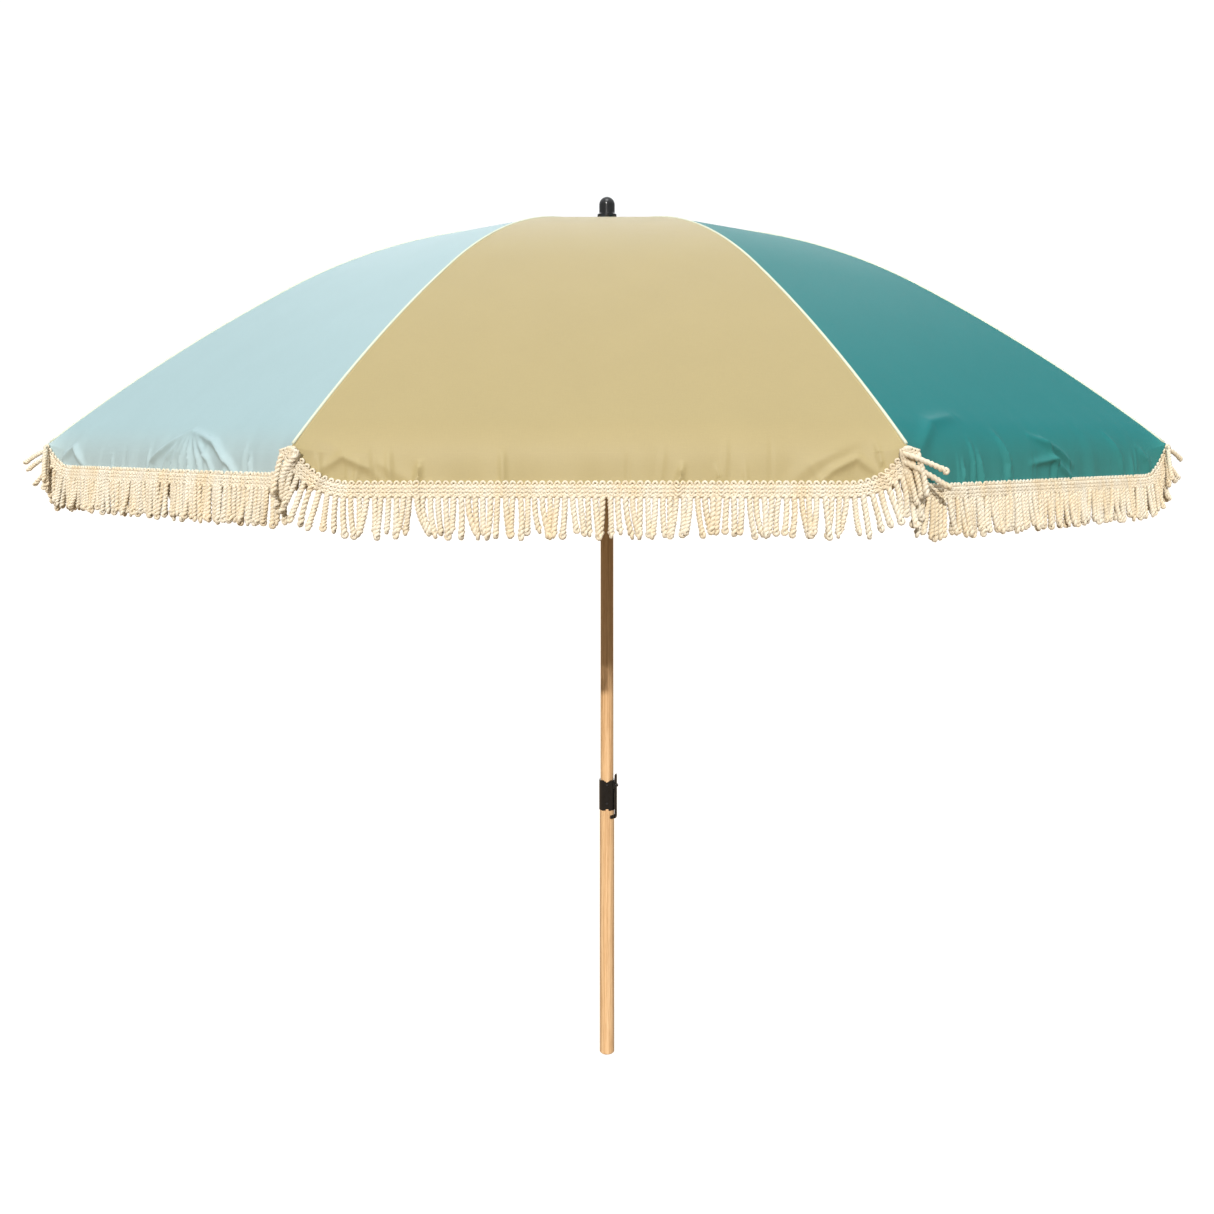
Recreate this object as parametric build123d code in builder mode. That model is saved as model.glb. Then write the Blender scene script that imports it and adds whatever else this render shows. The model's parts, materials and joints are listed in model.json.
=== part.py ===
"""Beach umbrella with a two-piece timber pole, eight curved ribs and a fringed eight-panel canopy.

Millimetres, +Z up, origin at the centre of the pole's lower end. The front is -Y.
Rib-shaped pieces are drawn in the XZ plane, on the +X side, and turned about Z to their places.
"""

import os
from math import atan2, cos, hypot, radians, sin, sqrt

from build123d import *

# Canopy
RIBS = 8
RIB_STEP = 360 / RIBS  # degrees from rib to rib
HALF_STEP = RIB_STEP / 2
FRONT = -90  # azimuth of the front panel's middle, in degrees
APEX_Z = 1594  # outer face of the fabric at the crown
FLAT_R = 100  # the dome is level out to here
KNEE_R = 600  # the crown arc meets the shoulder arc
KNEE_DROP = 134
TIP_R = 1000  # hem corner at each rib
TIP_DROP = 412
FABRIC_T = 1.2
FABRIC_HOLE = 15  # apothem of the hole round the finial
PANEL_GAP = 0.15  # from a panel's middle line to each of its halves
HEM_T = 2.5
HEM_GAP = 0.5  # between the panels' edge and the hem
HEM_BOTTOM_Z = 1057

# Poles
LOWER_R = 14
UPPER_R = 12.5
LOWER_TOP_Z = 472  # shoulder under the sleeve
SPIGOT_TOP_Z = 500
POLE_REST_GAP = 0.2
UPPER_TOP_Z = 1575
FOOT_CHAMFER = 2

# Sleeve and its latch
SLEEVE_R = 15.2
SLEEVE_TOP_Z = 530
RUNNING = 0.05  # radial clearance of a shaft in its hole
LATCH_AZIMUTH = -22
LATCH_PIN_R = 1.25
LATCH_PIN_X = 18.2
LATCH_PIN_Z = 519
LATCH_WIDTH = 6
LATCH_INNER_X = 16.9
LATCH_OUTER_X = 19.8
LATCH_TOP_Z = 542
LATCH_TAB_Z = 456
LEVER_BOSS_R = 2.6  # round each lever's pin hole
EAR_T = 2
EAR_R = 3.4
SIDE_GAP = 0.3
EAR_FOOT = 3.4  # height of an ear's foot, over its radius
PAD_GAP = 0.3  # between a latch pad and the pole
PAD_HALF = 1.5  # half the height of a latch pad
PAD_FLARE = 1  # added to it where the pad meets its lever
NOSE_Z = 508

# Hinges of the frame
PIVOT_R = 22  # crown and runner pivots, from the pole's axis
WIRE_R = 1.2
EYE_R = 4
EYE_T = 3
EYE_HOLE_R = 1.3
EYE_LENGTH = 12
SLOT_WIDTH = 3.4
SLOT_INNER_R = 17.2
COLLAR_R = 29
COLLAR_T = 12

# Ribs and stretchers
RIB_DROP = 8  # rib centreline below the fabric's outer face
ROD_R = 2.25
STRETCHER_ROD_R = 2
STRETCHER_R = 500  # the stretcher's bracket sits on the rib here
RIB_END_R = 984
BRACKET_DROP = 10  # stretcher pivot below the rib's centreline
BRACKET_R = 4.2
BRACKET_LENGTH = 18
PIVOT_PIN_R = 1.25
PRESSED = 0.02  # the pivot pin's hole in its ears, over the pin
CAP_R = 4
CAP_OVERLAP = 12
CAP_LENGTH = 17

# Runner
RUNNER_BORE_R = 13
RUNNER_TUBE_R = 16.6
RUNNER_BELOW = 58
RUNNER_ABOVE = 14
RUNNER_RIM_R = 20
RUNNER_RIM_T = 6
CATCH_PIN_BELOW = 26  # catch pivot under the stretcher pivots
CATCH_PIN_X = 19.8
CATCH_WIDTH = 8

os.makedirs("parts", exist_ok=True)


def arc_radius(run, drop):
    """Radius of an arc that starts level and falls by drop over run."""
    return (run**2 + drop**2) / (2 * drop)


KNEE_SLOPE = 2 * atan2(KNEE_DROP, KNEE_R - FLAT_R)
CROWN_ARC_R = arc_radius(KNEE_R - FLAT_R, KNEE_DROP)
CHORD = hypot(TIP_R - KNEE_R, TIP_DROP - KNEE_DROP)
CHORD_SLOPE = atan2(TIP_DROP - KNEE_DROP, TIP_R - KNEE_R)
SHOULDER_R = CHORD / (2 * sin(CHORD_SLOPE - KNEE_SLOPE))
SHOULDER_X = KNEE_R - SHOULDER_R * sin(KNEE_SLOPE)
SHOULDER_Z = APEX_Z - KNEE_DROP - SHOULDER_R * cos(KNEE_SLOPE)
TIP_Z = APEX_Z - TIP_DROP


def dome(radius):
    """Height and downward slope, in radians, of the fabric over a rib."""
    if radius <= KNEE_R:
        run = max(0, radius - FLAT_R)
        reach = sqrt(CROWN_ARC_R**2 - run**2)
        return APEX_Z - CROWN_ARC_R + reach, atan2(run, reach)
    run = radius - SHOULDER_X
    reach = sqrt(SHOULDER_R**2 - run**2)
    return SHOULDER_Z + reach, atan2(run, reach)


CROWN_Z = APEX_Z - RIB_DROP
bracket_z, bracket_slope = dome(STRETCHER_R)
bracket_z -= RIB_DROP
JOINT_X = STRETCHER_R - BRACKET_DROP * sin(bracket_slope)
JOINT_Z = bracket_z - BRACKET_DROP * cos(bracket_slope)
RUNNER_Z = 2 * JOINT_Z - CROWN_Z
STRETCHER_LENGTH = hypot(JOINT_X - PIVOT_R, JOINT_Z - RUNNER_Z)
rib_end_z, rib_end_slope = dome(RIB_END_R)
rib_end_z -= RIB_DROP
print(f"stretcher pivot ({JOINT_X:.3f}, {JOINT_Z:.3f}), runner pivots at {RUNNER_Z:.3f}")
print(f"rib end ({RIB_END_R}, {rib_end_z:.3f}), stretcher {STRETCHER_LENGTH:.3f} long")


def save(piece, name):
    piece.part.label = name
    export_step(piece.part, f"parts/{name}.step")


def turned(piece, azimuth):
    """A copy of a piece, turned about the pole's axis."""
    with BuildPart() as copy_:
        add(piece.part, rotation=(0, 0, azimuth))
    return copy_


def radial_plane(x, z, azimuth=0):
    """An upright plane through (x, z) whose local x points outward and local y up."""
    out = radians(azimuth)
    return Plane(
        origin=(x * cos(out), x * sin(out), z),
        x_dir=(cos(out), sin(out), 0),
        z_dir=(sin(out), -cos(out), 0),
    )


# ---------------------------------------------------------------- timber poles

with BuildPart() as lower_pole:
    Cylinder(LOWER_R, LOWER_TOP_Z, align=(Align.CENTER, Align.CENTER, Align.MIN))
    chamfer(lower_pole.faces().sort_by(Axis.Z)[0].edges(), FOOT_CHAMFER)
    with BuildSketch(Plane.XY.offset(LOWER_TOP_Z)):
        Circle(UPPER_R)
    extrude(amount=SPIGOT_TOP_Z - LOWER_TOP_Z)
save(lower_pole, "lower_pole")

with BuildPart() as upper_pole:
    with BuildSketch(Plane.XY.offset(SPIGOT_TOP_Z + POLE_REST_GAP)):
        Circle(UPPER_R)
    extrude(amount=UPPER_TOP_Z - SPIGOT_TOP_Z - POLE_REST_GAP)
    chamfer(upper_pole.faces().sort_by(Axis.Z)[0].edges(), 1)
save(upper_pole, "upper_pole")

# ---------------------------------------------------- sleeve that joins the poles

V_NOTCH_HALF = 6
V_NOTCH_DEPTH = 4
ARCH_R = 3.5
WINDOW_WIDTH = 7.2
WINDOW_HEIGHT = 7
RIVET_R = 2.6
RIVET_HEAD = 1.3
RIVET_SEAT = 0.3  # the head's rim starts this far inside the sleeve's face
RIVET_TAPER = 28  # degrees
LOWER_RIVET_Z = 486
UPPER_RIVET_Z = 522

latch_plane = radial_plane(0, 0, LATCH_AZIMUTH)
sleeve_bore_r = UPPER_R + RUNNING

with BuildPart() as pole_sleeve:
    with BuildSketch(Plane.XY.offset(LOWER_TOP_Z)):
        Circle(SLEEVE_R)
    extrude(amount=SLEEVE_TOP_Z - LOWER_TOP_Z)
    with BuildSketch(latch_plane):
        with Locations((LATCH_PIN_X, LATCH_PIN_Z)):
            Circle(EAR_R)
        with Locations((LATCH_PIN_X - EAR_R, LATCH_PIN_Z)):
            Rectangle(2 * EAR_R, EAR_FOOT * EAR_R)
    extrude(amount=LATCH_WIDTH / 2 + SIDE_GAP + EAR_T, both=True)
    with BuildSketch(latch_plane):
        with Locations((SLEEVE_R + EAR_R, LATCH_PIN_Z)):
            Rectangle(2 * EAR_R, 2 * EAR_FOOT * EAR_R)
    extrude(amount=LATCH_WIDTH / 2 + SIDE_GAP, both=True, mode=Mode.SUBTRACT)
    with BuildSketch(latch_plane):
        with Locations((LATCH_PIN_X, LATCH_PIN_Z)):
            Circle(LATCH_PIN_R)
    extrude(amount=LATCH_WIDTH, both=True, mode=Mode.SUBTRACT)
    with BuildSketch(Plane.XY.offset(LOWER_TOP_Z)):
        Circle(sleeve_bore_r)
    extrude(amount=SLEEVE_TOP_Z - LOWER_TOP_Z, mode=Mode.SUBTRACT)
    with BuildSketch(latch_plane):
        with Locations((SLEEVE_R, NOSE_Z)):
            Rectangle(SLEEVE_R, WINDOW_HEIGHT)
    extrude(amount=WINDOW_WIDTH / 2, both=True, mode=Mode.SUBTRACT)
    with BuildSketch(Plane.XZ):
        with BuildLine():
            Polyline(
                (-V_NOTCH_HALF, SLEEVE_TOP_Z),
                (0, SLEEVE_TOP_Z - V_NOTCH_DEPTH),
                (V_NOTCH_HALF, SLEEVE_TOP_Z),
                close=True,
            )
        make_face()
        with Locations((0, LOWER_TOP_Z)):
            Circle(ARCH_R)
    extrude(amount=SLEEVE_R + 1, mode=Mode.SUBTRACT)
save(pole_sleeve, "pole_sleeve")

with BuildPart() as sleeve_pins:
    with BuildSketch(radial_plane(LATCH_PIN_X, LATCH_PIN_Z, LATCH_AZIMUTH)):
        Circle(LATCH_PIN_R)
    extrude(amount=LATCH_WIDTH / 2 + SIDE_GAP + EAR_T, both=True)
    for height in (LOWER_RIVET_Z, UPPER_RIVET_Z):
        with BuildSketch(Plane((0, RIVET_SEAT - SLEEVE_R, height), z_dir=(0, -1, 0))):
            Circle(RIVET_R)
        extrude(amount=RIVET_HEAD, taper=RIVET_TAPER)
    with BuildSketch(Plane.XY.offset(LOWER_TOP_Z)):
        Circle(SLEEVE_R)
    extrude(amount=SLEEVE_TOP_Z - LOWER_TOP_Z, mode=Mode.SUBTRACT)
save(sleeve_pins, "sleeve_pins")

# The latch: a lever on the pin, with a pad that bears on the upper pole through the
# sleeve's window and a curled tab below the sleeve.
TAB_INNER_R = 15
TAB_OUTER_R = 17.8
TAB_HEIGHT = 8
TAB_INSET = 1  # the curled strip's edges, inside the lever's foot
TAB_SWEEP = 52  # degrees round the pole, towards the front
TAB_FROM = 7
FOOT_INNER_X = 15.8
FOOT_OUTER_X = 18.4
LEVER_BEVEL = 3
LEVER_TIP_T = 1.2

with BuildPart() as latch_lever:
    with BuildSketch(latch_plane):
        with BuildLine():
            Polyline(
                (LATCH_INNER_X, LATCH_TAB_Z + TAB_HEIGHT),
                (LATCH_INNER_X, NOSE_Z - PAD_HALF - PAD_FLARE),
                (UPPER_R + PAD_GAP, NOSE_Z - PAD_HALF),
                (UPPER_R + PAD_GAP, NOSE_Z + PAD_HALF),
                (LATCH_INNER_X, NOSE_Z + PAD_HALF + PAD_FLARE),
                (LATCH_INNER_X, LATCH_TOP_Z - LEVER_BEVEL),
                (LATCH_OUTER_X - LEVER_TIP_T, LATCH_TOP_Z),
                (LATCH_OUTER_X, LATCH_TOP_Z - LEVER_BEVEL),
                (LATCH_OUTER_X, LATCH_TAB_Z + TAB_HEIGHT / 2),
                (FOOT_OUTER_X, LATCH_TAB_Z),
                (FOOT_INNER_X, LATCH_TAB_Z),
                (FOOT_INNER_X, LATCH_TAB_Z + TAB_HEIGHT - TAB_INSET / 2),
                close=True,
            )
        make_face()
        with Locations((LATCH_PIN_X, LATCH_PIN_Z)):
            Circle(LEVER_BOSS_R)
    extrude(amount=LATCH_WIDTH / 2, both=True)
    with BuildSketch(Plane.XY.offset(LATCH_TAB_Z + TAB_INSET)):
        with BuildLine():
            inner = CenterArc((0, 0), TAB_INNER_R, LATCH_AZIMUTH + TAB_FROM, -TAB_SWEEP)
            outer = CenterArc((0, 0), TAB_OUTER_R, LATCH_AZIMUTH + TAB_FROM, -TAB_SWEEP)
            Line(inner @ 0, outer @ 0)
            Line(inner @ 1, outer @ 1)
        make_face()
    extrude(amount=TAB_HEIGHT - 2 * TAB_INSET)
    with BuildSketch(latch_plane):
        with Locations((LATCH_PIN_X, LATCH_PIN_Z)):
            Circle(LATCH_PIN_R + RUNNING)
    extrude(amount=LATCH_WIDTH, both=True, mode=Mode.SUBTRACT)
save(latch_lever, "latch_lever")

# A bowed leaf between the lever's upper arm and the sleeve.
LEAF_T = 0.4
LEAF_LOW_Z = 523.5
LEAF_HIGH_Z = 529.5
LEAF_GAP = 0.1  # between the leaf's bow and the sleeve
LEAF_SIDE = 0.5  # narrower than the lever on each side

with BuildPart() as latch_spring:
    with BuildSketch(latch_plane):
        with BuildLine():
            low = (LATCH_INNER_X - LEAF_T, LEAF_LOW_Z)
            high = (LATCH_INNER_X - LEAF_T, LEAF_HIGH_Z)
            bow = (SLEEVE_R + LEAF_GAP, (LEAF_LOW_Z + LEAF_HIGH_Z) / 2)
            ThreePointArc(low, bow, high)
            Line(high, (LATCH_INNER_X, LEAF_HIGH_Z))
            ThreePointArc(
                (LATCH_INNER_X, LEAF_HIGH_Z), (bow[0] + LEAF_T, bow[1]), (LATCH_INNER_X, LEAF_LOW_Z)
            )
            Line((LATCH_INNER_X, LEAF_LOW_Z), low)
        make_face()
    extrude(amount=LATCH_WIDTH / 2 - LEAF_SIDE, both=True)
save(latch_spring, "latch_spring")

# ------------------------------------------------------------- crown and finial

NECK_BOTTOM_Z = 1548
NECK_R = 16.6
STUD_R = 4
FINIAL_BASE_Z = APEX_Z + 0.5
FINIAL_BASE_R = 20
FINIAL_WAIST_R = 16.5
FINIAL_RING_R = 18.6
FINIAL_RING_Z = 1622
FINIAL_RING_T = 4
FINIAL_DOME_R = 15.2
FINIAL_DOME_HEIGHT = 16
FINIAL_TOP_Z = 1661
FINIAL_FLAT_R = 2
FINIAL_FLAT_BEVEL = (3, 1)  # from the flat out to the dome, and down
FINIAL_STEM_R = 13
FINIAL_RIM_T = 3
crown_top_z = CROWN_Z + COLLAR_T / 2


def rib_slots(height):
    """The eight slots that the eyes sit in."""
    with BuildPart() as slots:
        with BuildSketch(Plane.XY.offset(height - COLLAR_T / 2)):
            with PolarLocations((SLOT_INNER_R + COLLAR_R) / 2, RIBS, start_angle=HALF_STEP):
                Rectangle(COLLAR_R - SLOT_INNER_R + 1, SLOT_WIDTH)
        extrude(amount=COLLAR_T)
    return slots.part


def wire_groove(height, opens):
    """The groove that the hinge wire is laid in, open upward (1) or downward (-1)."""
    with BuildPart() as groove:
        with BuildSketch(Plane.XZ):
            with Locations((PIVOT_R, height)):
                Circle(WIRE_R)
            with Locations((PIVOT_R, height + opens * COLLAR_T / 4)):
                Rectangle(2 * WIRE_R, COLLAR_T / 2)
        revolve(axis=Axis.Z)
    return groove.part


with BuildPart() as crown:
    with BuildSketch(Plane.XY.offset(NECK_BOTTOM_Z)):
        Circle(NECK_R)
    extrude(amount=crown_top_z - NECK_BOTTOM_Z)
    with BuildSketch(Plane.XY.offset(CROWN_Z - COLLAR_T / 2)):
        Circle(COLLAR_R)
    extrude(amount=COLLAR_T)
    chamfer(crown.faces().sort_by(Axis.Z)[-1].edges(), 1)
    add(rib_slots(CROWN_Z), mode=Mode.SUBTRACT)
    add(wire_groove(CROWN_Z, 1), mode=Mode.SUBTRACT)
    with BuildSketch(Plane.XY.offset(NECK_BOTTOM_Z)):
        Circle(UPPER_R)
    extrude(amount=UPPER_TOP_Z - NECK_BOTTOM_Z, mode=Mode.SUBTRACT)
    with BuildSketch(Plane.XY.offset(UPPER_TOP_Z)):
        Circle(STUD_R)
    extrude(amount=COLLAR_T * 2, mode=Mode.SUBTRACT)
save(crown, "crown")

with BuildPart() as crown_wire:
    with Locations((0, 0, CROWN_Z)):
        Torus(PIVOT_R, WIRE_R)
save(crown_wire, "crown_wire")

with BuildPart() as finial:
    with BuildSketch(Plane.XZ):
        with BuildLine():
            dome_start = FINIAL_TOP_Z - FINIAL_DOME_HEIGHT
            dome_end = (
                FINIAL_FLAT_R + FINIAL_FLAT_BEVEL[0],
                FINIAL_TOP_Z - FINIAL_FLAT_BEVEL[1],
            )
            Polyline(
                (0, UPPER_TOP_Z + 1),
                (STUD_R, UPPER_TOP_Z + 1),
                (STUD_R, crown_top_z),
                (FINIAL_STEM_R, crown_top_z),
                (FINIAL_STEM_R, FINIAL_BASE_Z),
                (FINIAL_BASE_R, FINIAL_BASE_Z),
                (FINIAL_BASE_R, FINIAL_BASE_Z + FINIAL_RIM_T),
            )
            ThreePointArc(
                (FINIAL_BASE_R, FINIAL_BASE_Z + FINIAL_RIM_T),
                (FINIAL_WAIST_R, (FINIAL_BASE_Z + FINIAL_RING_Z) / 2),
                (FINIAL_RING_R, FINIAL_RING_Z),
            )
            Polyline(
                (FINIAL_RING_R, FINIAL_RING_Z),
                (FINIAL_RING_R, FINIAL_RING_Z + FINIAL_RING_T),
                (FINIAL_DOME_R, FINIAL_RING_Z + 1.6 * FINIAL_RING_T),
                (FINIAL_DOME_R, dome_start),
            )
            TangentArc((FINIAL_DOME_R, dome_start), dome_end, tangent=(0, 1))
            Polyline(
                dome_end, (FINIAL_FLAT_R, FINIAL_TOP_Z), (0, FINIAL_TOP_Z), (0, UPPER_TOP_Z + 1)
            )
        make_face()
    revolve(axis=Axis.Z)
save(finial, "finial")

# ---------------------------------------------------------------------- runner

CATCH_Z = RUNNER_Z - CATCH_PIN_BELOW
CATCH_PAD_Z = CATCH_Z + 11
runner_bottom_z = RUNNER_Z - RUNNER_BELOW
CATCH_END_Z = runner_bottom_z + 9
CATCH_FOOT = 2.6  # height of the catch's ears' foot, over their radius

with BuildPart() as runner:
    with BuildSketch(Plane.XY.offset(runner_bottom_z)):
        Circle(RUNNER_TUBE_R)
    extrude(amount=RUNNER_BELOW + RUNNER_ABOVE)
    with BuildSketch(Plane.XY.offset(RUNNER_Z - COLLAR_T / 2)):
        Circle(COLLAR_R)
    extrude(amount=COLLAR_T)
    with BuildSketch(Plane.XY.offset(runner_bottom_z)):
        Circle(RUNNER_RIM_R)
    extrude(amount=RUNNER_RIM_T)
    fillet(runner.faces().sort_by(Axis.Z)[0].edges(), 1.5)
    with BuildSketch(Plane.XZ):
        with Locations((CATCH_PIN_X, CATCH_Z)):
            Circle(EAR_R)
        with Locations((CATCH_PIN_X - EAR_R, CATCH_Z)):
            Rectangle(2 * EAR_R, CATCH_FOOT * EAR_R)
    extrude(amount=CATCH_WIDTH / 2 + SIDE_GAP + EAR_T, both=True)
    with BuildSketch(Plane.XZ):
        with Locations((RUNNER_TUBE_R + EAR_R, CATCH_Z)):
            Rectangle(2 * EAR_R, 2 * CATCH_FOOT * EAR_R)
    extrude(amount=CATCH_WIDTH / 2 + SIDE_GAP, both=True, mode=Mode.SUBTRACT)
    with BuildSketch(Plane.XZ):
        with Locations((CATCH_PIN_X, CATCH_Z)):
            Circle(LATCH_PIN_R)
    extrude(amount=CATCH_WIDTH, both=True, mode=Mode.SUBTRACT)
    with BuildSketch(Plane.XZ):
        with Locations((RUNNER_TUBE_R, CATCH_PAD_Z)):
            Rectangle(RUNNER_TUBE_R, WINDOW_HEIGHT)
    extrude(amount=CATCH_WIDTH / 2 + SIDE_GAP, both=True, mode=Mode.SUBTRACT)
    add(rib_slots(RUNNER_Z), mode=Mode.SUBTRACT)
    add(wire_groove(RUNNER_Z, -1), mode=Mode.SUBTRACT)
    with BuildSketch(Plane.XY.offset(runner_bottom_z)):
        Circle(RUNNER_BORE_R)
    extrude(amount=RUNNER_BELOW + RUNNER_ABOVE, mode=Mode.SUBTRACT)
save(runner, "runner")

with BuildPart() as runner_pins:
    with Locations((0, 0, RUNNER_Z)):
        Torus(PIVOT_R, WIRE_R)
    with BuildSketch(radial_plane(CATCH_PIN_X, CATCH_Z)):
        Circle(LATCH_PIN_R)
    extrude(amount=CATCH_WIDTH / 2 + SIDE_GAP + EAR_T, both=True)
save(runner_pins, "runner_pins")

CATCH_INNER_X = 18.4
CATCH_OUTER_X = 21.4
CATCH_TAPER = 1.2  # the lower arm's inner face leans out this far
CATCH_FLICK = 3  # the thumb end stands out this far

with BuildPart() as runner_catch:
    with BuildSketch(Plane.XZ):
        with BuildLine():
            Polyline(
                (CATCH_INNER_X + CATCH_TAPER, CATCH_END_Z),
                (CATCH_INNER_X, CATCH_PAD_Z - PAD_HALF - PAD_FLARE),
                (UPPER_R + PAD_GAP, CATCH_PAD_Z - PAD_HALF),
                (UPPER_R + PAD_GAP, CATCH_PAD_Z + PAD_HALF),
                (CATCH_INNER_X, CATCH_PAD_Z + PAD_HALF + PAD_FLARE),
                (CATCH_OUTER_X, CATCH_PAD_Z + PAD_HALF),
                (CATCH_OUTER_X, CATCH_Z - EYE_R),
                (CATCH_OUTER_X + CATCH_FLICK, CATCH_END_Z),
                close=True,
            )
        make_face()
        with Locations((CATCH_PIN_X, CATCH_Z)):
            Circle(LEVER_BOSS_R)
    extrude(amount=CATCH_WIDTH / 2, both=True)
    with BuildSketch(Plane.XZ):
        with Locations((CATCH_PIN_X, CATCH_Z)):
            Circle(LATCH_PIN_R + RUNNING)
    extrude(amount=CATCH_WIDTH, both=True, mode=Mode.SUBTRACT)
save(runner_catch, "runner_catch")

# ----------------------------------------------------------- ribs and stretchers


def eye(plane):
    """A flat eye round the plane's origin, reaching EYE_LENGTH along its local x."""
    with BuildPart() as flat:
        with BuildSketch(plane):
            with Locations((EYE_LENGTH / 2, 0)):
                SlotCenterToCenter(EYE_LENGTH, 2 * EYE_R)
            Circle(EYE_HOLE_R, mode=Mode.SUBTRACT)
        extrude(amount=EYE_T / 2, both=True)
    return flat.part


with BuildPart() as rib:
    add(eye(radial_plane(PIVOT_R, CROWN_Z)))
    rod_start = PIVOT_R + EYE_LENGTH
    with BuildLine(Plane.XZ) as rib_line:
        Line((rod_start, CROWN_Z), (FLAT_R, CROWN_Z))
        TangentArc((FLAT_R, CROWN_Z), (KNEE_R, CROWN_Z - KNEE_DROP), tangent=(1, 0))
        TangentArc(
            (KNEE_R, CROWN_Z - KNEE_DROP),
            (RIB_END_R, rib_end_z),
            tangent=(cos(KNEE_SLOPE), -sin(KNEE_SLOPE)),
        )
    with BuildSketch(Plane(origin=(rod_start, 0, CROWN_Z), z_dir=(1, 0, 0))):
        Circle(ROD_R)
    sweep(path=rib_line.line)

joint_plane = Plane(
    origin=(STRETCHER_R, 0, bracket_z),
    x_dir=(cos(bracket_slope), 0, -sin(bracket_slope)),
    z_dir=(0, -1, 0),
)
end_plane = Plane(
    origin=(RIB_END_R, 0, rib_end_z), z_dir=(cos(rib_end_slope), 0, -sin(rib_end_slope))
)
BRACKET_SLOT = 3.4  # width of the slot between a bracket's ears
EAR_OUTER = BRACKET_SLOT / 2 + EAR_T
PIN_HEAD = 0.8  # the pivot pin stands out of its ears this far
CAP_ROUND = 2.5

with BuildPart() as rib_fittings:
    with BuildSketch(Plane(origin=joint_plane.origin, z_dir=joint_plane.x_dir)):
        Circle(BRACKET_R)
    extrude(amount=BRACKET_LENGTH / 2, both=True)
    with BuildSketch(joint_plane):
        with Locations((0, -BRACKET_DROP / 2)):
            SlotCenterToCenter(BRACKET_DROP, 2 * EYE_R, rotation=90)
    extrude(amount=EAR_OUTER, both=True)
    with BuildSketch(joint_plane):
        with Locations((0, -BRACKET_R - BRACKET_DROP)):
            Rectangle(4 * EYE_R, 2 * BRACKET_DROP)
    extrude(amount=BRACKET_SLOT / 2, both=True, mode=Mode.SUBTRACT)
    with BuildSketch(joint_plane):
        with Locations((0, -BRACKET_DROP)):
            Circle(PIVOT_PIN_R + PRESSED)
    extrude(amount=EAR_OUTER, both=True, mode=Mode.SUBTRACT)
    with BuildSketch(joint_plane):
        with Locations((0, -BRACKET_DROP)):
            Circle(PIVOT_PIN_R)
    extrude(amount=EAR_OUTER + PIN_HEAD, both=True)
    with BuildSketch(end_plane.offset(-CAP_OVERLAP)):
        Circle(CAP_R)
    extrude(amount=CAP_LENGTH)
    along_rib = Axis((0, 0, 0), tuple(end_plane.z_dir))
    fillet(rib_fittings.faces().sort_by(along_rib)[-1].edges(), CAP_ROUND)
    add(rib.part, mode=Mode.SUBTRACT)

with BuildPart() as stretcher:
    inner_plane = Plane(
        origin=(PIVOT_R, 0, RUNNER_Z),
        x_dir=(JOINT_X - PIVOT_R, 0, JOINT_Z - RUNNER_Z),
        z_dir=(0, -1, 0),
    )
    outer_plane = Plane(
        origin=(JOINT_X, 0, JOINT_Z),
        x_dir=(PIVOT_R - JOINT_X, 0, RUNNER_Z - JOINT_Z),
        z_dir=(0, 1, 0),
    )
    add(eye(inner_plane))
    add(eye(outer_plane))
    rod_plane = Plane(origin=inner_plane.from_local_coords((EYE_LENGTH, 0, 0)), z_dir=inner_plane.x_dir)
    with BuildSketch(rod_plane):
        Circle(STRETCHER_ROD_R)
    extrude(amount=STRETCHER_LENGTH - 2 * EYE_LENGTH)

# ------------------------------------------------------------------ canopy panels

HALF_CHORD_COS = cos(radians(HALF_STEP))
HALF_CHORD_SIN = sin(radians(HALF_STEP))
EDGE_X = TIP_R * HALF_CHORD_COS  # the panel's lower edge, from the pole's axis


def panel_edge(drop):
    """The fabric's section over the middle of a panel, lowered by drop."""
    flat_x = FLAT_R * HALF_CHORD_COS
    knee = (KNEE_R * HALF_CHORD_COS, APEX_Z - KNEE_DROP - drop)
    knee_slope = 2 * atan2(KNEE_DROP, (KNEE_R - FLAT_R) * HALF_CHORD_COS)
    with BuildLine() as section:
        Line((FABRIC_HOLE, APEX_Z - drop), (flat_x, APEX_Z - drop))
        TangentArc((flat_x, APEX_Z - drop), knee, tangent=(1, 0))
        TangentArc(
            knee,
            (EDGE_X, TIP_Z - drop),
            tangent=(cos(knee_slope), -sin(knee_slope)),
        )
    return section.line


def panel_half(side):
    """Half of the panel that lies along +X: the left half has side -1, the right half 1."""
    with BuildPart() as half:
        with BuildSketch(Plane.XZ):
            with BuildLine():
                add(panel_edge(0))
                add(panel_edge(FABRIC_T))
                Line((FABRIC_HOLE, APEX_Z), (FABRIC_HOLE, APEX_Z - FABRIC_T))
                Line((EDGE_X, TIP_Z), (EDGE_X, TIP_Z - FABRIC_T))
            make_face()
        extrude(amount=TIP_R / 2, both=True)
        split(bisect_by=Plane(origin=(0, side * PANEL_GAP, 0), z_dir=(0, side, 0)), keep=Keep.TOP)
        split(
            bisect_by=Plane(origin=(0, 0, 0), z_dir=(-HALF_CHORD_SIN, side * HALF_CHORD_COS, 0)),
            keep=Keep.BOTTOM,
        )
    return half


panel_left = panel_half(-1)
panel_right = panel_half(1)

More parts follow.
